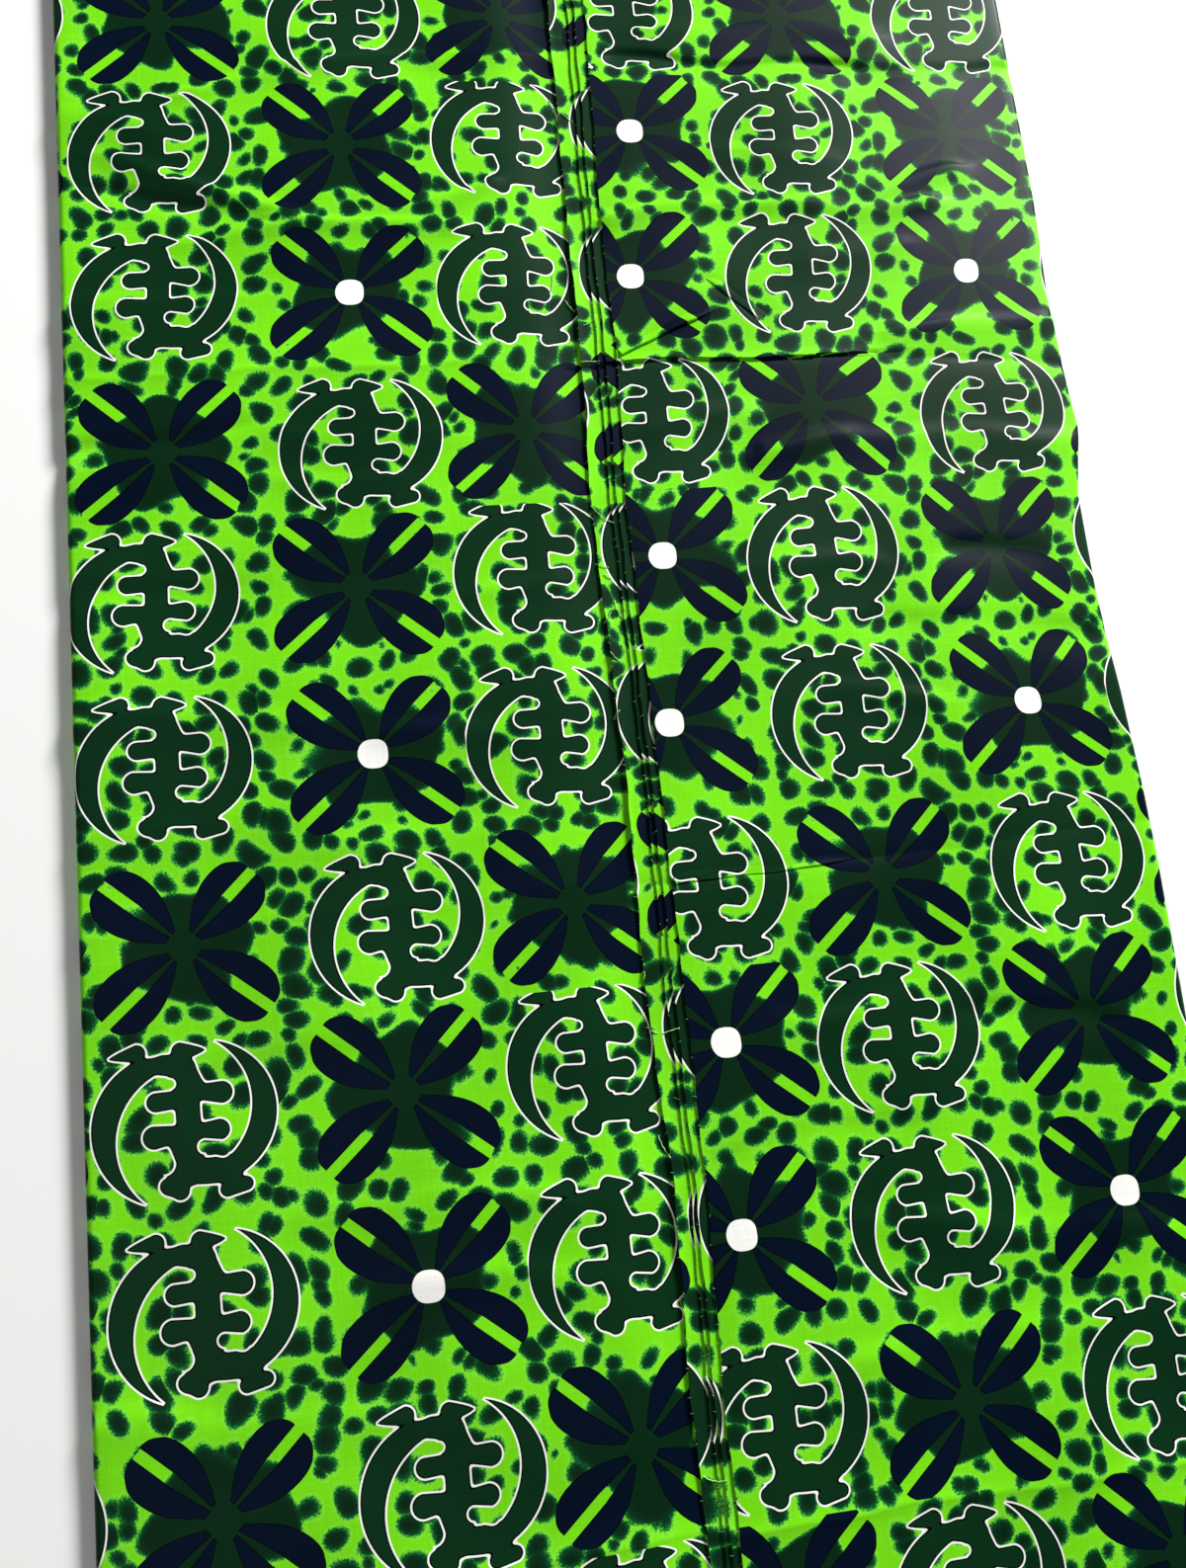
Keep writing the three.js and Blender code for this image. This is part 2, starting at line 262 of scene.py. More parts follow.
def half_circle(centre, height, side, steps=14):
    """A long fold from its top round to the floor. side is -1 on the left and 1 on the right."""
    angles = np.linspace(math.pi / 2, -math.pi / 2, steps + 1)
    return centre + side * height / 2 * np.cos(angles), height / 2 * (1 + np.sin(angles))


def stretches(*rows):
    """Places along a line made of stretches: the start, the end and the number of points of each."""
    return np.concatenate([[rows[0][0]]] + [np.linspace(*row)[1:] for row in rows])


# ---------------------------------------------------------------------------------------------------------
# Making a length of cloth
# ---------------------------------------------------------------------------------------------------------
REPEAT = 270.0  # the print's repeat along the cloth
PRINT_ORIGIN = (1.2855, -1.54)  # the middle of the piece, in repeats of the left side's print
RIGHT_SIDE_SHIFT = (1.387, 0.012)  # the right side's print against the left side's, in repeats
RIGHT_SIDE_TURN = math.radians(-0.40)
BOW = -5.0  # the weft bends by this much in the middle of each BOW_REPEATS
BOW_REPEATS = 3
BAKE_MARGIN = 0.004  # clear space round each part of the bake map
SMOOTH_BELOW = math.radians(50)  # faces that meet at less than this shade as one


def print_place(x, y, side):
    """Where points of the upper face lie in the print, in metres of flat cloth."""
    if side == "right":
        ahead, share = pleat(x, y)
        eased = np.clip(1 + ahead / PLEAT_EASES, 0, 1) * (ahead < 0)
        drawn = share * eased * np.exp(-(((x - PLEAT_MIDDLE[0]) / PLEAT_MIDDLE[1]) ** 2))
        x, y = x + PLEAT_TAKES[0] * drawn, y - PLEAT_TAKES[1] * drawn
    across = x / REPEAT + PRINT_ORIGIN[0]
    along = y / REPEAT + PRINT_ORIGIN[1]
    across = across - BOW / REPEAT * np.cos(2 * math.pi * (along + BOW_REPEATS / 2) / BOW_REPEATS)
    if side == "right":
        across, along = across - RIGHT_SIDE_SHIFT[0], along - RIGHT_SIDE_SHIFT[1]
        turn = -RIGHT_SIDE_TURN
        across, along = (
            across * math.cos(turn) - along * math.sin(turn),
            across * math.sin(turn) + along * math.cos(turn),
        )
    return np.stack([across, along], axis=-1) * REPEAT * MM


def pick(*pieces):
    """Selects these pieces and nothing else, with the first one active."""
    bpy.ops.object.select_all(action="DESELECT")
    for piece in pieces:
        piece.select_set(True)
    bpy.context.view_layer.objects.active = pieces[0]


def make_grid(name, places, cloth_map, parts, island=0, islands=1):
    """A length of cloth: a grid laid at places, with its place in the print.

    Its bake map is cut into parts along the cloth, side by side, and they fill one of several islands.
    """
    rows, columns = places.shape[:2]
    bpy.ops.object.select_all(action="DESELECT")
    bpy.ops.mesh.primitive_grid_add(x_subdivisions=columns - 1, y_subdivisions=rows - 1, size=1)
    piece = bpy.context.object
    piece.name = piece.data.name = name
    mesh = piece.data
    assert len(mesh.vertices) == rows * columns, (len(mesh.vertices), rows, columns)
    mesh.vertices.foreach_set("co", (places * MM).astype(np.float32).ravel())
    corners = np.empty(len(mesh.loops), np.int32)
    mesh.loops.foreach_get("vertex_index", corners)
    while mesh.uv_layers:
        mesh.uv_layers.remove(mesh.uv_layers[0])
    print_map = mesh.uv_layers.new(name="Cloth")
    print_map.uv.foreach_set("vector", cloth_map.reshape(-1, 2)[corners].astype(np.float32).ravel())
    row, column = corners // columns, corners % columns
    face_row = row.reshape(-1, 4).min(axis=1).repeat(4)
    part = face_row * parts // (rows - 1)
    first = np.ceil(part * (rows - 1) / parts)
    last = np.ceil((part + 1) * (rows - 1) / parts)
    filled = 1 - 2 * BAKE_MARGIN
    u = (island + (part + BAKE_MARGIN + filled * column / (columns - 1)) / parts) / islands
    v = BAKE_MARGIN + filled * (row - first) / (last - first)
    bake_map = mesh.uv_layers.new(name="OFBake")
    bake_map.uv.foreach_set("vector", np.stack([u, v], axis=-1).astype(np.float32).ravel())
    return piece


def give_thickness(piece, thickness):
    """Makes a sheet a thin closed shell below its upper face."""
    solidify = piece.modifiers.new("thickness", "SOLIDIFY")
    solidify.thickness = thickness * MM
    solidify.offset = -1
    bpy.ops.object.modifier_apply(modifier=solidify.name)
    bpy.ops.object.shade_smooth_by_angle(angle=SMOOTH_BELOW)


def finish_piece(piece, material, slot, *nodes):
    """Gives a piece its material and its body, and hides the CAD nodes that it stands for. The slot is not
    used.
    """
    piece.data.materials.append(material)
    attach(piece, BODY)
    if nodes:
        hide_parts(*nodes)
    return piece


# ---------------------------------------------------------------------------------------------------------
# Materials
# ---------------------------------------------------------------------------------------------------------
def linear(colour):
    """A linear colour from an sRGB hex value."""
    levels = [int(colour[i:i + 2], 16) / 255 for i in (1, 3, 5)]
    return [c / 12.92 if c <= 0.04045 else ((c + 0.055) / 1.055) ** 2.4 for c in levels] + [1.0]


def node(tree, kind, inputs=(), output=0, **settings):
    """Adds a node with its settings and inputs, and returns one of its outputs.

    kind is the node's type, and its operation after a space if it has one. Inputs are values or links, in
    their order or by their names.
    """
    kind, _, operation = kind.partition(" ")
    made = tree.nodes.new("ShaderNode" + kind)
    if operation:
        made.operation = operation
    for name, value in settings.items():
        setattr(made, name, value)
    for key, value in inputs.items() if isinstance(inputs, dict) else enumerate(inputs):
        if isinstance(value, bpy.types.NodeSocket):
            tree.links.new(value, made.inputs[key])
        else:
            made.inputs[key].default_value = value
    return made.outputs[output]


# The print, in millimetres of flat cloth
PRINT_WIDTH = 1.5 * REPEAT  # one and a half repeats across hold four columns of figures
FIRST_EDGE = -46.0  # where the first column starts, and where the others do
COLUMN_EDGES = [57.1, 156.3, 262.0]
TOP_EDGE = 45.0  # where the top one of three rows starts
ROW_HEIGHT = REPEAT / 3
SYMBOL, FLOWER, WHITE_FLOWER = 0.0, 0.5, 1.0
# Each figure's middle and kind: three rows from the top, four columns from the left.
FIGURES = [
    (10.5, -2.2, SYMBOL), (108.8, -4.0, FLOWER), (216.5, -4.0, SYMBOL), (309.2, 0.3, FLOWER),
    (9.5, -84.0, WHITE_FLOWER), (102.6, -89.4, SYMBOL), (210.6, -87.8, FLOWER), (308.3, -82.1, SYMBOL),
    (3.2, -180.4, WHITE_FLOWER), (105.0, -180.6, SYMBOL),
    (213.3, -181.7, WHITE_FLOWER), (307.0, -178.7, SYMBOL),
]

# The traditional symbol's straight strokes: both ends, both half widths, and how full the taper is.
STROKES = [
    ((-33.6, 33.2), (-20.6, 34.6), 0.3, 4.3, 0.75),  # left ear
    ((11.8, 33.2), (0.6, 33.4), 0.5, 4.6, 0.75),  # right ear
    ((-8.0, 27.5), (1.5, 25.5), 5.0, 5.5, 1.0),  # top bar
    ((-0.5, 26.5), (4.0, 15.5), 6.0, 6.6, 1.0),  # neck
    ((1.8, 20.0), (1.8, -22.0), 6.0, 6.0, 1.0),  # trunk
    ((0.0, 10.4), (-13.0, 9.9), 4.3, 4.7, 1.0),  # upper left knob
    ((0.0, -6.0), (-15.0, -6.9), 3.6, 5.6, 1.0),  # lower left knob
    ((6.0, 13.0), (18.6, 11.7), 3.6, 5.4, 1.0),  # upper right knob
    ((6.0, -6.0), (16.2, -6.2), 3.6, 5.1, 1.0),  # lower right knob
    ((-3.4, -9.5), (1.0, -22.0), 5.3, 5.6, 1.0),  # belly
    ((-1.0, -24.5), (19.0, -25.2), 5.3, 6.2, 1.0),  # bottom bar
    ((-10.3, -30.6), (-1.0, -26.5), 3.9, 5.5, 1.0),  # left foot
    ((-8.5, -31.8), (-4.6, -33.4), 3.6, 4.4, 1.0),
    ((17.8, -35.2), (26.9, -33.3), 3.6, 3.5, 1.0),  # right foot
    ((19.0, -27.0), (21.0, -31.0), 6.0, 4.6, 1.0),
]
# Rounded channels cut into the strokes.
CHANNELS = [
    ((-12.2, 18.8), (-5.8, 18.2), 3.5, 3.0, 1.0),
    ((8.7, -13.6), (17.0, -15.6), 3.9, 4.4, 1.0),
]
FILLET = 3.0  # where two strokes meet
# Its two crescents: an outer and an inner circle, each a middle and a radius, and the straight cuts at their
# tips, each a direction and a reach.
CRESCENTS = [
    ((-7.8, -3.5), 37.0, (3.6, -10.5), 37.2, [((1.0, 0.0), 3.0), ((0.0, 1.0), 31.8), ((0.8, -0.6), 5.4)]),
    ((10.1, 3.2), 34.7, (-2.1, 7.9), 35.2, [((-0.75, 0.66), 10.9)]),
]

# The flower's four split petals: direction, reach, half width, the slit's width and its shift to one side.
PETALS = [
    (138.5, 52.5, 15.9, 5.6, -0.8),
    (43.5, 51.5, 15.7, 5.4, 0.6),
    (-139.5, 54.0, 15.4, 5.2, 0.8),
    (-40.0, 53.5, 15.7, 5.6, -0.6),
]
# A petal's half width along its reach, both in shares.
PETAL_SHAPE = [
    (0.0, 0.06), (0.13, 0.22), (0.3, 0.58), (0.5, 0.9), (0.66, 1.0), (0.8, 0.97), (0.92, 0.76), (1.0, 0.34),
]
PETALS_START = 8.0  # from the flower's middle
SLIT_FULL_AT = 30.0
SLITS_CLEAR = 6.0  # the ground's spots are smaller by this much inside the petals' outlines
PETAL_EDGE = 2.0  # and get so over this much
WHITE_CENTRE = (-0.4, 0.0)
WHITE_RADIUS = 8.4
WHITE_CUTS = [((1, 0), 7.4), ((0, 1), 8.1), ((0, -1), 8.1)]  # it is cut straight there
WHITE_CORNERS = 2.5  # and rounded there

# The ground's spots: how far apart they are, and their least and largest radius.
LARGE_SPOTS = (16.0, 4.0, 6.4)
SMALL_SPOTS = (23.0, 2.4, 5.4)
SMALL_SPOTS_SHIFT = (7.0, 3.0, 0.0)
SPOT_SCATTER = 0.68  # from a straight grid at 0 to no order at 1
SPOTS_SHRINK = (50.0, 10.0, 1.8)  # within this far of a flower's middle, over this far, and by how much
WAVER = (24.0, 9.0)  # size and reach of the soft bends that spots and patches share
PATCH_RADIUS = (21.0, 23.0)  # least, and what the uneven edge adds at most
PATCH_STRETCH = 1.12  # a patch is this much wider than high
PATCH_FILLET = 3.0  # where a spot meets a patch
BRISTLES = (1.1, 1.8)  # size and reach

# Bands of ink from inside a shape outwards: where each starts, in millimetres, and its colour.
INK_REACH = 4.0
PETAL_INKS = [(-4.0, "#030F22"), (-0.5, "#010505"), (0.0, None)]
SYMBOL_INKS = [(-4.0, "#0A3018"), (-0.7, "#010505"), (0.0, "#FBFAF4"), (0.9, None)]
GROUND_INKS = [
    (-4.0, "#082814"),
    (-1.7, "#0A3018"),
    (-0.6, "#0A4420"),
    (0.3, "#1A7030"),
    (1.1, "#62CC2C"),
    (1.7, "#82E238"),
    (2.8, "#77DE18"),
]
WHITE_INK = "#FBFAF4"

# The cloth below the ink
YARN_PITCH = 1.1  # real yarns are 0.35 mm apart, too fine to show
YARN_LENGTH = 26.0  # of a slub
YARN_SHADE = 0.1  # what slubs add to the least brightness, as a share of the ink's own
DYE_SHADE = 0.3  # and what uneven dye adds
LEAST_SHADE = 0.75
DYE_PATCH = 60.0
DYE_ROUGHNESS = 0.16  # what uneven dye adds to the roughness
SPECULAR = 0.05  # little light comes straight back off printed yarns

# Loose yarn: its dyed and its pale parts, how long they are, and how sharply one follows the other
YARN_COLOURS = ("#84D23A", "#CDEFA4")
PALE_PATCH = 2.5
PALE_GAIN = (3.0, -1.0)


def new_material(name):
    """A new material with its nodes and its shader."""
    material = bpy.data.materials.new(name)
    material.use_nodes = True
    return material, material.node_tree, material.node_tree.nodes["Principled BSDF"]


def set_stops(ramp, interpolation, stops):
    """Gives a colour ramp its stops, each a position and a colour."""
    ramp.interpolation = interpolation
    ramp.elements.remove(ramp.elements[-1])
    for i, (position, colour) in enumerate(stops):
        stop = ramp.elements[0] if i == 0 else ramp.elements.new(position)
        stop.position = position
        stop.color = colour


def colour_bands(tree, away, bands, interpolation):
    """Colour and cover of bands of ink, by how far a place is outside a shape."""
    share = node(tree, "MapRange", {"Value": away, "From Min": -INK_REACH, "From Max": INK_REACH})
    ramp = node(tree, "ValToRGB", [share]).node
    stops = []
    for start, colour in bands:
        stops.append(((start + INK_REACH) / (2 * INK_REACH), linear(colour) if colour else (0, 0, 0, 0)))
    set_stops(ramp.color_ramp, interpolation, stops)
    return ramp.outputs["Color"], ramp.outputs["Alpha"]


def disc(tree, place, middle, radius):
    """How far a place is outside a disc."""
    away = node(tree, "VectorMath DISTANCE", [place, (*middle, 0)], "Value")
    return node(tree, "Math SUBTRACT", [away, radius])


def past(tree, place, direction, reach):
    """How far a place is past a straight line."""
    along = node(tree, "VectorMath DOT_PRODUCT", [place, (*direction, 0)], "Value")
    return node(tree, "Math SUBTRACT", [along, reach])


def stroke(tree, place, start, end, start_radius, end_radius, fullness):
    """How far a place is outside a straight stroke with round ends."""
    run = Vector((*end, 0)) - Vector((*start, 0))
    step = node(tree, "VectorMath SUBTRACT", [place, (*start, 0)])
    share = node(tree, "VectorMath DOT_PRODUCT", [step, run / run.length_squared], "Value")
    share = node(tree, "Math ADD", [share, 0.0], use_clamp=True)
    nearest = node(tree, "VectorMath SCALE", {0: run, "Scale": share})
    away = node(tree, "VectorMath DISTANCE", [step, nearest], "Value")
    if fullness != 1.0:
        share = node(tree, "Math POWER", [share, fullness])
    radius = node(tree, "Math MULTIPLY_ADD", [share, end_radius - start_radius, start_radius])
    return node(tree, "Math SUBTRACT", [away, radius])


def crescent(tree, place, outer, outer_radius, inner, inner_radius, cuts):
    """How far a place is outside a crescent whose tips are cut."""
    inside = node(tree, "Math MULTIPLY", [disc(tree, place, inner, inner_radius), -1.0])
    away = node(tree, "Math MAXIMUM", [disc(tree, place, outer, outer_radius), inside])
    for direction, reach in cuts:
        away = node(tree, "Math MAXIMUM", [away, past(tree, place, direction, reach)])
    return away


def symbol(tree, place):
    """How far a place is outside the symbol's dark body."""
    shapes = [stroke(tree, place, *row) for row in STROKES]
    shapes += [crescent(tree, place, *row) for row in CRESCENTS]
    away = shapes[0]
    for shape in shapes[1:]:
        away = node(tree, "Math SMOOTH_MIN", [away, shape, FILLET])
    for row in CHANNELS:
        inside = node(tree, "Math MULTIPLY", [stroke(tree, place, *row), -1.0])
        away = node(tree, "Math MAXIMUM", [away, inside])
    return away


def petal(tree, place, direction, reach, half_width, slit, shift):
    """How far a place is outside a petal, whole and as it is split along its middle."""
    angle = math.radians(direction)
    ahead = (math.cos(angle), math.sin(angle), 0)
    aside = (-math.sin(angle), math.cos(angle), 0)
    along = node(tree, "VectorMath DOT_PRODUCT", [place, ahead], "Value")
    across = node(tree, "VectorMath DOT_PRODUCT", [place, aside], "Value")
    shape = node(tree, "FloatCurve", {"Value": node(tree, "Math DIVIDE", [along, reach])})
    curve = shape.node.mapping.curves[0]
    curve.points[0].location = PETAL_SHAPE[0]
    curve.points[1].location = PETAL_SHAPE[-1]
    for point in PETAL_SHAPE[1:-1]:
        curve.points.new(*point)
    shape.node.mapping.update()
    width = node(tree, "Math MULTIPLY", [shape, half_width])
    whole = node(tree, "Math SUBTRACT", [node(tree, "Math ABSOLUTE", [across]), width])
    whole = node(tree, "Math MAXIMUM", [whole, node(tree, "Math SUBTRACT", [along, reach])])
    opening = node(tree, "Math DIVIDE", [along, SLIT_FULL_AT], use_clamp=True)
    slit_half = node(tree, "Math MULTIPLY", [opening, slit / 2])
    from_slit = node(tree, "Math ABSOLUTE", [node(tree, "Math SUBTRACT", [across, shift])])
    away = node(tree, "Math MAXIMUM", [whole, node(tree, "Math SUBTRACT", [slit_half, from_slit])])
    away = node(tree, "Math MAXIMUM", [away, node(tree, "Math SUBTRACT", [PETALS_START, along])])
    return whole, away


def petals(tree, place):
    """How far a place is outside the flower's petals, whole and as they are split."""
    (whole, away), *others = [petal(tree, place, *row) for row in PETALS]
    for other_whole, other_away in others:
        whole = node(tree, "Math MINIMUM", [whole, other_whole])
        away = node(tree, "Math MINIMUM", [away, other_away])
    return whole, away


def white_centre(tree, place):
    """How far a place is outside the flower's white centre, which is round but for its straight sides."""
    away = disc(tree, place, WHITE_CENTRE, WHITE_RADIUS)
    for direction, reach in WHITE_CUTS:
        away = node(tree, "Math SMOOTH_MAX", [away, past(tree, place, direction, reach), WHITE_CORNERS])
    return away


def find_figure(tree, place):
    """The place from the middle of the figure that it belongs to, and the figure's kind."""
    parts = node(tree, "SeparateXYZ", [place]).node
    across = node(tree, "Math WRAP", [parts.outputs[0], FIRST_EDGE + PRINT_WIDTH, FIRST_EDGE])
    along = node(tree, "Math WRAP", [parts.outputs[1], TOP_EDGE, TOP_EDGE - REPEAT])
    down = node(tree, "Math DIVIDE", [node(tree, "Math SUBTRACT", [TOP_EDGE, along]), ROW_HEIGHT])
    number = node(tree, "Math MULTIPLY", [node(tree, "Math FLOOR", [down]), len(COLUMN_EDGES) + 1])
    for edge in COLUMN_EDGES:
        number = node(tree, "Math ADD", [number, node(tree, "Math GREATER_THAN", [across, edge])])
    # A ramp holds the chart of the figures: each stop's red and green place one, and its blue is the kind.
    share = node(tree, "Math DIVIDE", [node(tree, "Math ADD", [number, 0.5]), len(FIGURES)])
    chart = node(tree, "ValToRGB", [share]).node
    stops = []
    for i, (middle_x, middle_y, kind) in enumerate(FIGURES):
        red = (middle_x - FIRST_EDGE) / PRINT_WIDTH
        green = (TOP_EDGE - middle_y) / REPEAT
        stops.append((i / len(FIGURES), (red, green, kind, 1)))
    set_stops(chart.color_ramp, "CONSTANT", stops)
    figure = node(tree, "SeparateXYZ", [chart.outputs["Color"]]).node
    middle_x = node(tree, "Math MULTIPLY_ADD", [figure.outputs[0], PRINT_WIDTH, FIRST_EDGE])
    middle_y = node(tree, "Math MULTIPLY_ADD", [figure.outputs[1], -REPEAT, TOP_EDGE])
    x = node(tree, "Math SUBTRACT", [across, middle_x])
    y = node(tree, "Math SUBTRACT", [along, middle_y])
    return node(tree, "CombineXYZ", [x, y, 0.0]), figure.outputs[2]


def spots(tree, place, spacing, least, most):
    """How far a place is outside scattered round spots."""
    scatter = {"Vector": place, "Scale": 1 / spacing, "Randomness": SPOT_SCATTER}
    cells = node(tree, "TexVoronoi", scatter, "Distance", voronoi_dimensions="2D")
    chance = node(tree, "SeparateColor", [cells.node.outputs["Color"]])
    radius = node(tree, "Math MULTIPLY_ADD", [chance, most - least, least])
    return node(tree, "Math SUBTRACT", [node(tree, "Math MULTIPLY", [cells, spacing]), radius])


def ground(tree, place, here, in_petals, is_flower):
    """The wax-resist ground: dark green spots with bristly edges, and a patch of them behind each flower."""
    size, reach = WAVER
    soft = {"Vector": place, "Scale": 1 / size, "Detail": 0.0}
    waver = node(tree, "TexNoise", soft, "Color", noise_dimensions="2D")
    bent = node(tree, "VectorMath MULTIPLY_ADD", [waver, (reach, reach, 0.0), place])
    large = spots(tree, bent, *LARGE_SPOTS)
    small = spots(tree, node(tree, "VectorMath ADD", [bent, SMALL_SPOTS_SHIFT]), *SMALL_SPOTS)
    away = node(tree, "Math MINIMUM", [large, small])
    stretched = node(tree, "VectorMath MULTIPLY", [here, (1.0, PATCH_STRETCH, 0.0)])
    from_middle = node(tree, "VectorMath LENGTH", [stretched], "Value")
    least, uneven = PATCH_RADIUS
    radius = node(tree, "Math MULTIPLY_ADD", [node(tree, "SeparateColor", [waver], "Blue"), uneven, least])
    patch = node(tree, "Math SUBTRACT", [from_middle, node(tree, "Math MULTIPLY", [radius, is_flower])])
    near, over, less = SPOTS_SHRINK
    nearness = node(tree, "Math MULTIPLY_ADD", [from_middle, -1 / over, near / over], use_clamp=True)
    for inside, smaller in [(nearness, less), (in_petals, SLITS_CLEAR)]:
        inside_flower = node(tree, "Math MULTIPLY", [inside, is_flower])
        away = node(tree, "Math MULTIPLY_ADD", [inside_flower, smaller, away])
    away = node(tree, "Math SMOOTH_MIN", [away, patch, PATCH_FILLET])
    size, reach = BRISTLES
    fine = {"Vector": place, "Scale": 1 / size, "Detail": 0.0}
    bristles = node(tree, "TexNoise", fine, noise_dimensions="2D")
    shrunk = node(tree, "Math SUBTRACT", [away, reach / 2])
    away = node(tree, "Math MULTIPLY_ADD", [bristles, reach, shrunk])
    return colour_bands(tree, away, GROUND_INKS, "LINEAR")[0]


def yarns(tree, place, across, along):
    """Uneven yarns of one direction, drawn further apart than real ones so that they show."""
    stretched = node(tree, "VectorMath MULTIPLY", [place, (1 / across, 1 / along, 0.0)])
    return node(tree, "TexNoise", {"Vector": stretched, "Scale": 1.0, "Detail": 0.0}, noise_dimensions="2D")


def cotton_print(name, roughness):
    """Wax print: plain-woven cotton, printed through to both faces and calendered to a soft gloss."""
    material, tree, shader = new_material(name)
    place = node(tree, "VectorMath SCALE", {0: node(tree, "UVMap", uv_map="Cloth"), "Scale": 1 / MM})
    here, kind = find_figure(tree, place)
    is_flower = node(tree, "Math GREATER_THAN", [kind, (SYMBOL + FLOWER) / 2])
    has_white = node(tree, "Math GREATER_THAN", [kind, (FLOWER + WHITE_FLOWER) / 2])
    is_symbol = node(tree, "Math SUBTRACT", [1.0, is_flower])
    whole, away = petals(tree, here)
    in_petals = node(tree, "Math MULTIPLY", [whole, -1 / PETAL_EDGE], use_clamp=True)
    in_centre = node(tree, "Math LESS_THAN", [white_centre(tree, here), 0.0])
    petal_ink, petal_cover = colour_bands(tree, away, PETAL_INKS, "CONSTANT")
    symbol_ink, symbol_cover = colour_bands(tree, symbol(tree, here), SYMBOL_INKS, "CONSTANT")
    colour = ground(tree, place, here, in_petals, is_flower)
    inks = [
        (petal_cover, is_flower, petal_ink),
        (in_centre, has_white, linear(WHITE_INK)),
        (symbol_cover, is_symbol, symbol_ink),
    ]
    for cover, is_here, ink in inks:
        share = node(tree, "Math MULTIPLY", [cover, is_here])
        colour = node(tree, "Mix", {0: share, 6: colour, 7: ink}, 2, data_type="RGBA")
    # Slubs and uneven dye make the flat colours live.
    lying = yarns(tree, place, YARN_LENGTH, YARN_PITCH)
    standing = yarns(tree, place, YARN_PITCH, YARN_LENGTH)
    soft = {"Vector": place, "Scale": 1 / DYE_PATCH, "Detail": 0.0}
    dye = node(tree, "TexNoise", soft, noise_dimensions="2D")
    shade = node(tree, "Math MULTIPLY_ADD", [dye, DYE_SHADE, LEAST_SHADE])
    shade = node(tree, "Math MULTIPLY_ADD", [node(tree, "Math ADD", [lying, standing]), YARN_SHADE, shade])
    shaded = node(tree, "VectorMath SCALE", {0: colour, "Scale": shade})
    gloss = node(tree, "Math MULTIPLY_ADD", [dye, DYE_ROUGHNESS, roughness])
    tree.links.new(shaded, shader.inputs["Base Color"])
    tree.links.new(gloss, shader.inputs["Roughness"])
    shader.inputs["Specular IOR Level"].default_value = SPECULAR
    return material


def loose_yarn():
    """Loose cotton yarn: soft and matt, with fluff that catches the light, and uneven in its dye."""
    material, tree, shader = new_material("loose cotton yarn")
    place = node(tree, "VectorMath SCALE", {0: node(tree, "TexCoord", output="Object"), "Scale": 1 / MM})
    soft = {"Vector": place, "Scale": 1 / PALE_PATCH, "Detail": 1.0}
    patches = node(tree, "TexNoise", soft, noise_dimensions="2D")
    pale = node(tree, "Math MULTIPLY_ADD", [patches, *PALE_GAIN], use_clamp=True)
    dyed_colour, pale_colour = [linear(colour) for colour in YARN_COLOURS]
    colour = node(tree, "Mix", {0: pale, 6: dyed_colour, 7: pale_colour}, 2, data_type="RGBA")
    tree.links.new(colour, shader.inputs["Base Color"])
    shader.inputs["Roughness"].default_value = 0.8
    shader.inputs["Sheen Weight"].default_value = 0.2
    return material


def matt_paper():
    """Matt white paper below the cloth: even and bright, with no gloss of its own."""
    material, _, shader = new_material("matt white paper")
    shader.inputs["Base Color"].default_value = linear("#F8F8F6")
    shader.inputs["Roughness"].default_value = 0.9
    return material


# ---------------------------------------------------------------------------------------------------------
# Camera, light and floor
# ---------------------------------------------------------------------------------------------------------
# In metres, as Blender takes them
CAMERA_PLACE = Vector((-0.1029, -0.1713, 0.6346))
CAMERA_FORWARD = Vector((0.1239, 0.1709, -0.9775))
CAMERA_UP = Vector((0.0811, 0.9800, 0.1816))
PICTURE = (1200, 1587)  # the focal length is as long as the picture is wide
# Softboxes: name, place, width, and power in watts. The key light comes in low from the far right.
SOFTBOXES = [
    ("key softbox", (2.4, 2.66, 1.72), 0.9, 322),
    ("fill softbox", (-1.0, -0.6, 2.2), 1.6, 8),
]
SKY_STRENGTH = 0.12
FLOOR_WIDTH = 12
FLOOR_DROP = 0.0004  # below the cloth's underside


def add_camera():
    """A camera above the cloth, tilted a little towards its far right."""
    data = bpy.data.cameras.new("camera")
    data.sensor_fit = "AUTO"
    data.sensor_width = 36.0
    data.lens = data.sensor_width * PICTURE[0] / PICTURE[1]
    data.clip_start, data.clip_end = 0.01, 50.0
    camera = bpy.data.objects.new("camera", data)
    forward = CAMERA_FORWARD.normalized()
    right = forward.cross(CAMERA_UP).normalized()
    turned = Matrix((right, right.cross(forward), -forward)).transposed().to_4x4()
    camera.matrix_world = Matrix.Translation(CAMERA_PLACE) @ turned
    bpy.context.scene.collection.objects.link(camera)
    bpy.context.scene.camera = camera


def add_softbox(name, place, size, power):
    """A square soft light that points at the cloth's middle."""
    data = bpy.data.lights.new(name, "AREA")
    data.shape = "SQUARE"
    data.size = size
    data.energy = power
    lamp = bpy.data.objects.new(name, data)
    lamp.location = place
    lamp.rotation_euler = (-Vector(place)).to_track_quat("-Z", "Y").to_euler()
    bpy.context.scene.collection.objects.link(lamp)


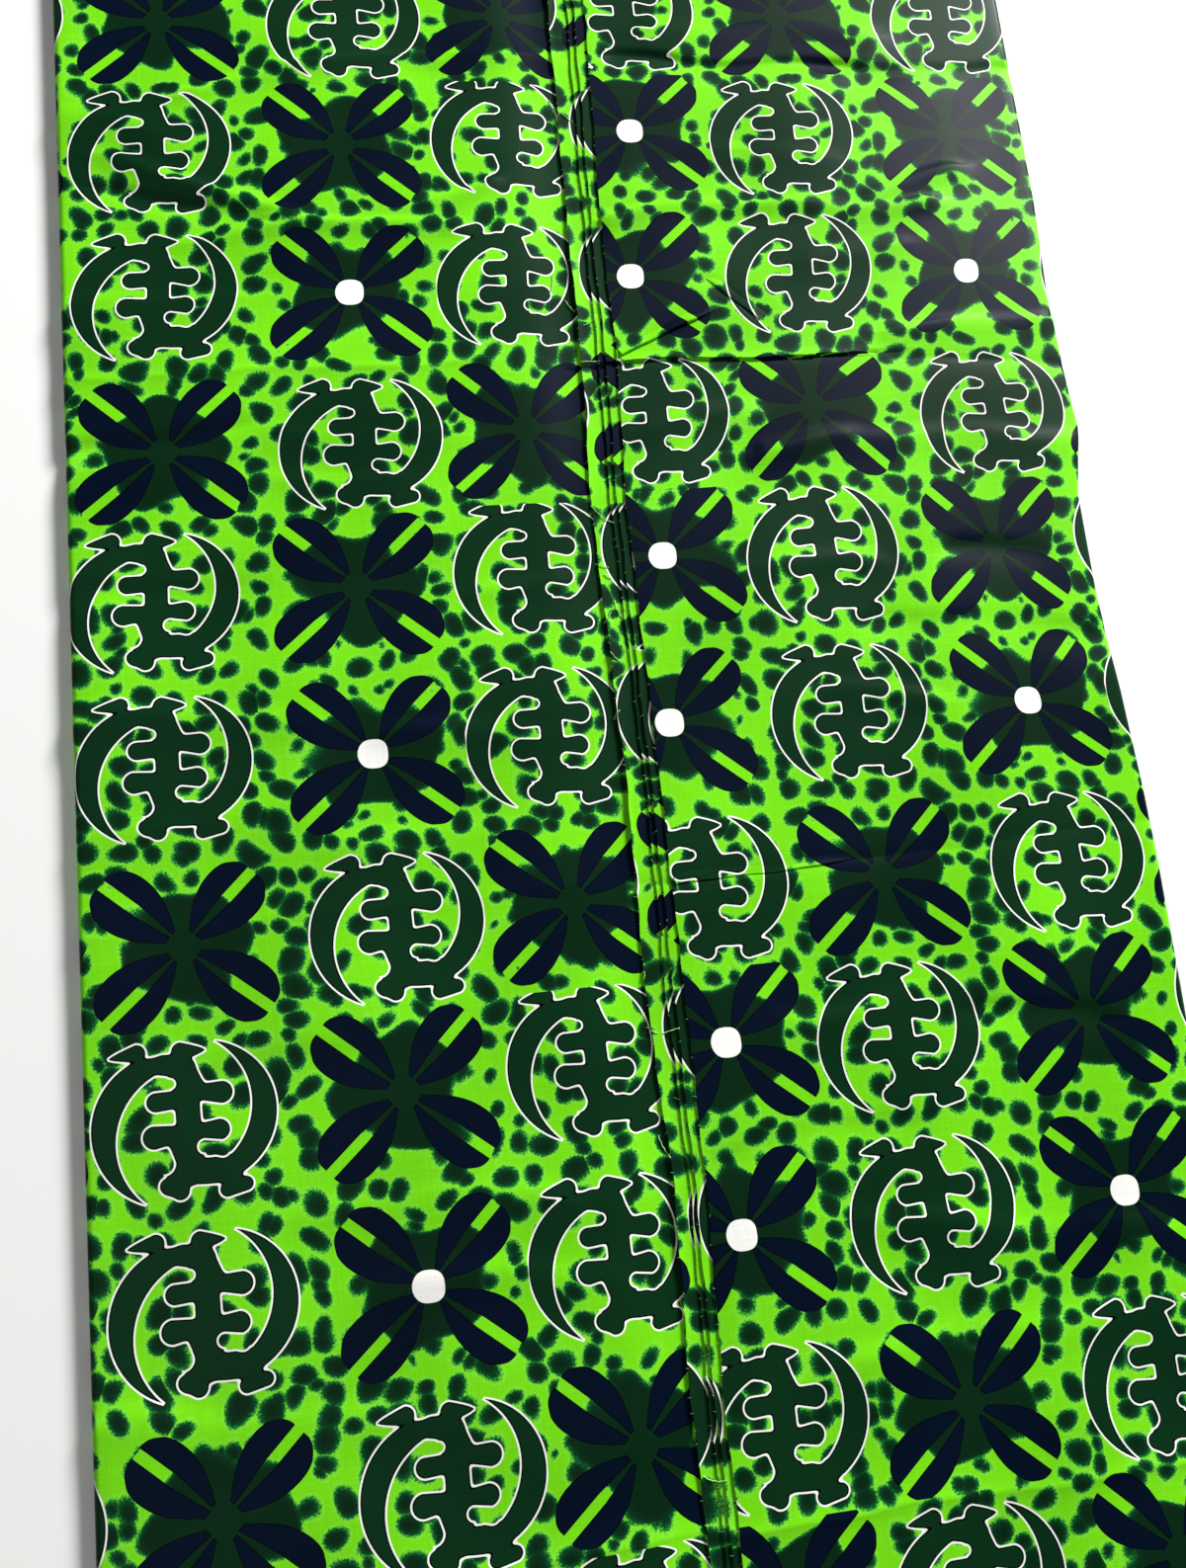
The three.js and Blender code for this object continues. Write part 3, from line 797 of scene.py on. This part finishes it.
def add_studio():
    """The lights, a pale sky and a wide floor of white paper."""
    for row in SOFTBOXES:
        add_softbox(*row)
    world = bpy.data.worlds.new("studio")
    world.use_nodes = True
    world.node_tree.nodes["Background"].inputs["Color"].default_value = (1, 1, 1, 1)
    world.node_tree.nodes["Background"].inputs["Strength"].default_value = SKY_STRENGTH
    bpy.context.scene.world = world
    bpy.context.scene.view_settings.view_transform = "Standard"
    bpy.ops.mesh.primitive_plane_add(size=FLOOR_WIDTH, location=(0, 0, -FLOOR_DROP))
    floor = bpy.context.object
    floor.name = "floor"
    floor.data.materials.append(matt_paper())


# ---------------------------------------------------------------------------------------------------------
# The pieces
# ---------------------------------------------------------------------------------------------------------
def slope_top(x):
    """Height of the left side's upper face, its bends softened."""
    heights = [np.interp(x + shift, *zip(*LEFT_SLOPE)) for shift in np.linspace(-2, 2, 5) * SLOPE_SOFTNESS]
    return np.mean(heights, axis=0)


def lay(section_x, section_z, rows):
    """Rows of points: a section across the piece repeated along it. Either may differ from row to row."""
    y = np.broadcast_to(rows[:, None], (len(rows), np.shape(section_x)[-1]))
    x = np.broadcast_to(section_x, y.shape)
    z = np.broadcast_to(section_z, y.shape)
    return settled(x, y, z), x, y


def make_left_side(material):
    """The left side: round its fold, across the top and under the right side. Gives its flat width too."""
    fold_x, fold_z = half_circle(LEFT_FOLD_CENTRE, LEFT_TOP, -1)
    level = np.linspace(LEFT_FOLD_CENTRE, LEVEL_ENDS, 33)[1:]
    slope = np.linspace(LEVEL_ENDS, LEFT_TUCK_END, 30)[1:]
    section_x = np.concatenate([fold_x[::-1], level, slope])
    section_z = np.concatenate([fold_z[::-1], np.full(len(level), LEFT_TOP), slope_top(slope)])
    flat_x = np.concatenate([[0], np.cumsum(np.hypot(np.diff(section_x), np.diff(section_z)))])
    flat_x += section_x[len(fold_x)] - flat_x[len(fold_x)]
    rows = lines_along(END_BACK["left"])
    places, _, y = lay(section_x, section_z, rows)
    cloth_map = print_place(np.broadcast_to(flat_x, y.shape), y, "left")
    piece = make_grid("left_side", places, cloth_map, 2)
    give_thickness(piece, CLOTH)
    finish_piece(piece, material, "left_print", "left_panel")
    return piece, flat_x[-1] - flat_x[0]


def make_right_side(material):
    """The right side: from its raw edge across the top and round its fold. Gives its flat width too."""
    rows = lines_along(END_BACK["right"])
    edge = raw_edge("top", rows)
    shares = stretches((0, 0.04, 7), (0.04, 0.4, 35), (0.4, 1, 28))
    level = edge[:, None] + shares * (RIGHT_FOLD_CENTRE - edge[:, None])
    fold_x, fold_z = half_circle(RIGHT_FOLD_CENTRE, RIGHT_TOP, 1)
    round_fold = RIGHT_FOLD_CENTRE + np.cumsum(np.hypot(np.diff(fold_x), np.diff(fold_z)))
    folds = (len(rows), len(round_fold))
    section_x = np.concatenate([level, np.broadcast_to(fold_x[1:], folds)], axis=1)
    section_z = np.concatenate([np.full(len(shares), RIGHT_TOP), fold_z[1:]])
    flat_x = np.concatenate([level, np.broadcast_to(round_fold, folds)], axis=1)
    places, _, y = lay(section_x, section_z, rows)
    piece = make_grid("right_side", places, print_place(flat_x, y, "right"), 2)
    give_thickness(piece, CLOTH)
    finish_piece(piece, material, "right_print", "right_panel")
    return piece, float((flat_x[:, -1] - flat_x[:, 0]).mean())


# The right side's lower lengths: each one's height, how far its print lies from the left side's, and how much
# its raw edge lifts.
LOWER_LENGTHS = {
    "second": (SECOND_TOP, (-89.0, -12.0), 0.25),
    "third": (THIRD_TOP, (-86.5, -13.0), 0.2),
    "fourth": (FOURTH_TOP, (-84.0, -12.0), 1.7),
}
EDGE_LIFT_REACH = 4.0


def edge_lift(name, x, y):
    """How much a raw edge lifts off the cloth below, more in some places than in others."""
    _, _, most = LOWER_LENGTHS[name]
    uneven = 0.55 + waves(y, (0.3, 41, most * 9), (0.15, 17))
    return most * uneven * np.exp((raw_edge(name, y) - x) / EDGE_LIFT_REACH)


def make_lower_length(name, material):
    """What shows of a lower length, from its raw edge to under the right side. Gives its flat width too."""
    top, shift, _ = LOWER_LENGTHS[name]
    rows = lines_along(END_BACK[name])
    edge = raw_edge(name, rows)[:, None]
    shares = stretches((0, 0.3, 9), (0.3, 1, 7))
    section_x = edge + shares * (LOWER_LAYERS_END - edge)
    places, x, y = lay(section_x, top + edge_lift(name, section_x, rows[:, None]), rows)
    piece = make_grid(f"{name}_length", places, print_place(x, y, "left") + np.array(shift) * MM, 5)
    give_thickness(piece, CLOTH)
    finish_piece(piece, material, "edge_print", f"{name}_layer")
    return piece, float((LOWER_LAYERS_END - edge).mean())


# Small pleats, where the right side's cloth laps over itself: both ends of each, and how high it stands.
LAPS = [
    ((18, 184), (190, 183), 0.6),
    ((19, 188), (84, 219), 1.9),
    ((104, 208), (72, 238), 0.9),
    ((15, -120), (131, -115), 0.9),
]
# A lap's section: how far from its edge, and its height as a share of the whole.
LAP_SECTION = [(7.0, -0.3), (5.0, 0.1), (3.2, 0.45), (1.6, 0.82), (0.5, 1.0), (0.0, 0.92), (-0.25, 0.6)]
LAP_STEP = 1.5
LAP_THICKNESS = 0.3
LAP_CLEAR = 0.05  # above the cloth that it stands for
LAP_SINK = 0.35  # its far end dips into that cloth by this much
LAP_NARROWEST = 0.4  # its width at the far end, as a share of the whole
LAP_END = 3  # it fades over its last third


def make_laps(material):
    """The rounded edges of the small pleats, which shade the cloth beside them."""
    pieces = []
    back, rise = np.array(LAP_SECTION).T
    for i, (start, end, height) in enumerate(LAPS):
        run = np.subtract(end, start)
        length = np.hypot(*run)
        way = 1 if run[0] > 0 else -1
        across = np.array([-run[1], run[0]]) / length * way
        share = np.linspace(0, 1, round(length / LAP_STEP) + 1)[:, None]
        fade = np.clip((1 - share) * LAP_END, 0, 1) ** 0.7 * (0.85 + 0.15 * np.sin(9 * share + height))
        narrowed = back * (LAP_NARROWEST + (1 - LAP_NARROWEST) * fade)
        from_edge = narrowed + waves(share * length, (0.5, 13), (0.25, 5))
        x = start[0] + share * run[0] + across[0] * from_edge
        y = start[1] + share * run[1] + across[1] * from_edge
        places = settled(x, y, np.full(x.shape, RIGHT_TOP + LAP_CLEAR))
        places[..., 2] += height * fade * rise - LAP_SINK * (1 - fade)
        cloth_map = print_place(x, y, "right")
        piece = make_grid(f"lap_{i}", places[:, ::way], cloth_map[:, ::way], 1, i, len(LAPS))
        give_thickness(piece, LAP_THICKNESS)
        pieces.append(piece)
    pick(*pieces)
    bpy.ops.object.join()
    laps = bpy.context.object
    laps.name = laps.data.name = "pleat_edges"
    return finish_piece(laps, material, "right_print")


# The folded ends of the hidden layers
HIDDEN_LIPS = 7
LIP_BACK = 5.6  # from the end of the whole to a lip's nose
LIP_GROOVE = 3.0  # from the nose to the groove between two lips
LIP_ROOT = 3.0  # and from there to the last row of points on the level
LIP_NOSE = [80, 45, 0, -45, -80]  # degrees round each lip
LIP_FULLNESS = 0.94
HIDDEN_GAP = 0.5  # keeps the hidden layers clear of the cloth above
HIDDEN_ARC = [0, 12, 25, 40, 57, 75, 90]  # degrees round their long folds
ARC_CLEAR = 2.0  # from such a fold's last point to the next one across
STEP_WIDTH = 0.5  # of a step from one level to the next


def hidden_section():
    """Places across the hidden layers, with their lower and upper faces."""
    angles = np.radians(HIDDEN_ARC)
    sections = []
    for centre, height, side in [(LEFT_FOLD_CENTRE, LEFT_TOP, -1), (RIGHT_FOLD_CENTRE, RIGHT_TOP, 1)]:
        radius = height / 2 - PITCH
        arc_x = centre + side * radius * np.cos(angles)
        half = radius * np.sin(angles)
        arc = np.stack([arc_x, height / 2 - half, height / 2 + half], axis=1)
        sections.append(arc if side < 0 else arc[::-1])
    x = np.concatenate([
        np.linspace(LEFT_FOLD_CENTRE + ARC_CLEAR, LEVEL_ENDS, 32),
        np.linspace(LEVEL_ENDS + 4, LEFT_TUCK_END, 14),
        np.linspace(LEFT_TUCK_END + STEP_WIDTH, LOWER_LAYERS_END, 5),
        np.linspace(LOWER_LAYERS_END + STEP_WIDTH, RIGHT_FOLD_CENTRE - ARC_CLEAR, 34),
    ])
    above = np.where(x > LOWER_LAYERS_END, RIGHT_TOP, np.where(x > LEFT_TUCK_END, FOURTH_TOP, slope_top(x)))
    level = np.stack([x, 0 * x, above - PITCH - HIDDEN_GAP], axis=1)
    return np.concatenate([sections[0], level, sections[1]]).T


def lip_points(x, low, top, end):
    """Lips at an end of the hidden layers, from the top down. end is 1 at the far one, -1 at the near one."""
    y, z = [], []
    for i in range(HIDDEN_LIPS):
        back = LIP_BACK + 1.2 * np.sin(2.4 * i + x / 53) + 0.5 * np.sin(1.7 * i + x / 17)
        nose = FOLDED_LENGTH / 2 - back
        half = (top - low) / HIDDEN_LIPS / 2
        middle = top - (2 * i + 1) * half
        y.append(end * (nose - LIP_GROOVE))
        z.append(middle + half)
        for degrees in LIP_NOSE:
            angle = math.radians(degrees)
            y.append(end * (nose - half + half * math.cos(angle)))
            z.append(middle + LIP_FULLNESS * half * math.sin(angle))
    return np.array(y), np.array(z)


def make_hidden_layers(material):
    """All that lies below, as one ring round the stack: its top, near lips, underside and far lips."""
    x, low, top = hidden_section()
    rows = lines_along(LIP_BACK + LIP_GROOVE + LIP_ROOT, 6.0, 3.0)
    far_y, far_z = lip_points(x, low, top, 1)
    near_y, near_z = lip_points(x, low, top, -1)
    across = np.broadcast_to(rows[:, None], (len(rows), len(x)))
    level_y = np.concatenate([across[::-1], near_y, across, far_y[::-1], across[-1:]])
    top_rows = np.broadcast_to(top, across.shape)
    low_rows = np.broadcast_to(low, across.shape)
    z = np.concatenate([top_rows, near_z, low_rows, far_z[::-1], top_rows[:1]])
    places = settled(np.broadcast_to(x, level_y.shape), level_y, z)
    round_ring = np.zeros(level_y.shape)
    round_ring[1:] = np.cumsum(np.hypot(np.diff(level_y, axis=0), np.diff(z, axis=0)), axis=0)
    cloth_map = np.stack([np.broadcast_to(x, level_y.shape), -round_ring], axis=-1) * MM
    piece = make_grid("hidden_layers", places, cloth_map, 2)
    bpy.ops.object.shade_smooth_by_angle(angle=SMOOTH_BELOW)
    return finish_piece(piece, material, "hidden_print", "under_layers")


# Loose threads beside the raw edges: where each starts, its heading in degrees, its length, and how it bends.
THREADS = [
    (-7, 361, -65, 22, 30), (-16, 243, -84, 13, -40), (-10, 227, -67, 9, 25), (-1, 210, 9, 11, 60),
    (-8, 186, 9, 14, -12), (-8, 99, -60, 17, 35), (-9, 64, -28, 8, 15), (-5, 57, -19, 5, -40),
    (0, 42, -92, 14, 50), (-3, 35, -114, 8, -30), (-6, 12, -60, 7, 20), (-8, -26, 60, 6, -20),
    (-7, -168, 66, 4, 30), (-8, -193, -50, 7, 40), (0, -197, 18, 9, -10), (-8, -248, -78, 13, 25),
    (-6, -330, -70, 9, -45), (-4, -412, -40, 12, 60), (-9, 455, -80, 10, 30), (-2, 520, -30, 8, -35),
    (-5, 603, -100, 16, 40), (-8, -505, -75, 12, 30), (-5, -590, -50, 9, -50), (-4, -655, -110, 10, 25),
]
THREAD_RADIUS = 0.25
THREAD_LIFT = 0.5  # how far the middle of one stands off the cloth
THREAD_STEP = 1.0  # from one of its points to the next
KINK = 16.0  # degrees
LOOK_AHEAD = 0.6  # it climbs this far before a higher edge
STEEPEST_FALL = 0.7  # and falls by this much for each millimetre along it at most

# The fringe's broken fibres
FIBRE_RADIUS = 0.07
FIBRE_LIFT = 0.15
FIBRE_STEP = 0.7
FIBRE_SPACING = 13.0
FIBRE_LENGTH = (0.6, 2.0)  # least, and what chance adds at most
FIBRE_FAN = 110.0  # degrees between the furthest headings
FIBRE_BEND = 60.0  # degrees between the furthest bends
FIBRE_ROOT = 0.3  # inside the raw edge
FRINGE_ENDS = 6.0  # this far from the ends of the whole


def surface(x, y):
    """Height of what lies on top at a place beside the raw edges, before it settles."""
    height = float(slope_top(x))
    for name in ["fourth", "third", "second"]:
        if x > raw_edge(name, y):
            height = LOWER_LENGTHS[name][0] + edge_lift(name, x, y)
    return RIGHT_TOP if x > raw_edge("top", y) else height


def strands(name, paths, radius, material):
    """Many thin strands as one piece, each along its own list of places."""
    data = bpy.data.curves.new(name, "CURVE")
    data.dimensions = "3D"
    data.bevel_depth = radius * MM
    data.bevel_resolution = 0
    data.use_fill_caps = True
    for path in paths:
        spline = data.splines.new("POLY")
        spline.points.add(len(path) - 1)
        for point, place in zip(spline.points, path):
            point.co = (*(np.array(place) * MM), 1)
    piece = bpy.data.objects.new(name, data)
    bpy.context.scene.collection.objects.link(piece)
    pick(piece)
    bpy.ops.object.convert(target="MESH")
    return finish_piece(bpy.context.object, material, "edge_print")


def strand_path(x, y, heading, length, bend, lift, step):
    """A strand's places: it starts on the cloth, bends evenly with small kinks and lies on what it meets."""
    count = max(2, round(length / step))
    path = []
    height = surface(x, y)
    for i in range(count + 1):
        share = i / count
        height = max(surface(x, y), surface(x + LOOK_AHEAD, y), height - STEEPEST_FALL * step)
        lifted = height + lift * (0.4 + math.sin(math.pi * share))
        path.append(settled(np.array(x), np.array(y), np.array(lifted)))
        angle = math.radians(heading + bend * share + KINK * math.sin(2.7 * i + y))
        x += step * math.cos(angle)
        y += step * math.sin(angle)
    return path


def make_threads(material):
    """The loose threads, each on its own path."""
    paths = [strand_path(*row, THREAD_LIFT, THREAD_STEP) for row in THREADS]
    return strands("loose_threads", paths, THREAD_RADIUS, material)


def make_fringe(name, material):
    """Short broken fibres along a raw edge."""
    chance = np.random.default_rng(len(name) + 3)
    limit = FOLDED_LENGTH / 2 - FRINGE_ENDS
    paths = []
    y = -limit
    while y < limit:
        length = FIBRE_LENGTH[0] + FIBRE_LENGTH[1] * chance.random() ** 3
        heading = 180 + FIBRE_FAN * (chance.random() - 0.5)
        bend = FIBRE_BEND * (chance.random() - 0.5)
        x = float(raw_edge(name, y)) + FIBRE_ROOT
        paths.append(strand_path(x, y, heading, length, bend, FIBRE_LIFT, FIBRE_STEP))
        y += FIBRE_SPACING * (0.3 + 1.4 * chance.random())
    return strands(f"{name}_fringe", paths, FIBRE_RADIUS, material)


add_camera()
add_studio()
# The upper face keeps the calender's gloss, the raw edges have lost most of it, and the folds' inside some.
outer_cloth = cotton_print("calendered wax print cotton", 0.36)
edge_cloth = cotton_print("wax print cotton at the raw edge", 0.46)
hidden_cloth = cotton_print("wax print cotton inside the folds", 0.42)
pale_yarn = loose_yarn()
left_side, left_width = make_left_side(outer_cloth)
right_side, right_width = make_right_side(outer_cloth)
make_laps(outer_cloth)
make_hidden_layers(hidden_cloth)
for name in LOWER_LENGTHS:
    length, width = make_lower_length(name, edge_cloth)
for name in RAW_EDGES:
    make_fringe(name, pale_yarn)
make_threads(pale_yarn)
